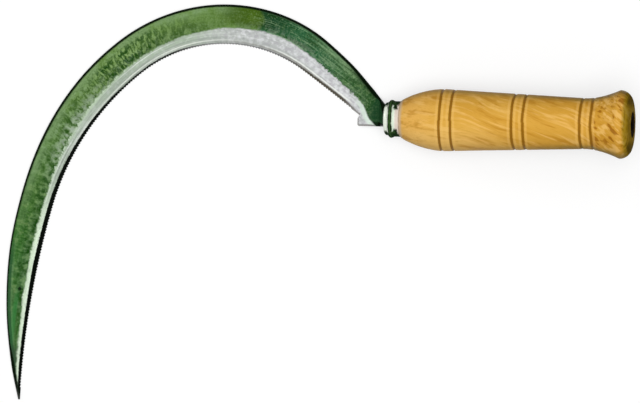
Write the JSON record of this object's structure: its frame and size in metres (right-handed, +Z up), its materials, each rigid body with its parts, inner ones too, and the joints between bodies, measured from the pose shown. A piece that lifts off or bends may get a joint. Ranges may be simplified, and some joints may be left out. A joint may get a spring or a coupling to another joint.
{
  "type": "serrated sickle",
  "caption": "Hand sickle with a crescent steel blade, ground and toothed on its inner edge, cranked up into a turned wooden handle through a steel ferrule.",
  "frame": {"origin": "on the underside of the blade's heel, in line with the handle", "axes": "+X runs along the handle as seen from above, from heel to pommel; +Y points to the back of the blade; +Z is up, away from the surface that the blade lies on"},
  "size_m": [0.3429, 0.22, 0.053],
  "materials": {
    "painted_blade": "satin green paint, worn to bright ground steel along the cutting edge",
    "ferrule_steel": "bright pressed steel with paint on its bead",
    "turned_wood": "varnished honey-coloured hardwood",
    "washer_iron": "dark oxide"
  },
  "bodies": {
    "root": {"blade": "painted_blade", "ferrule": "ferrule_steel", "handle": "turned_wood", "tang_washer": "washer_iron"}
  },
  "joints": []
}
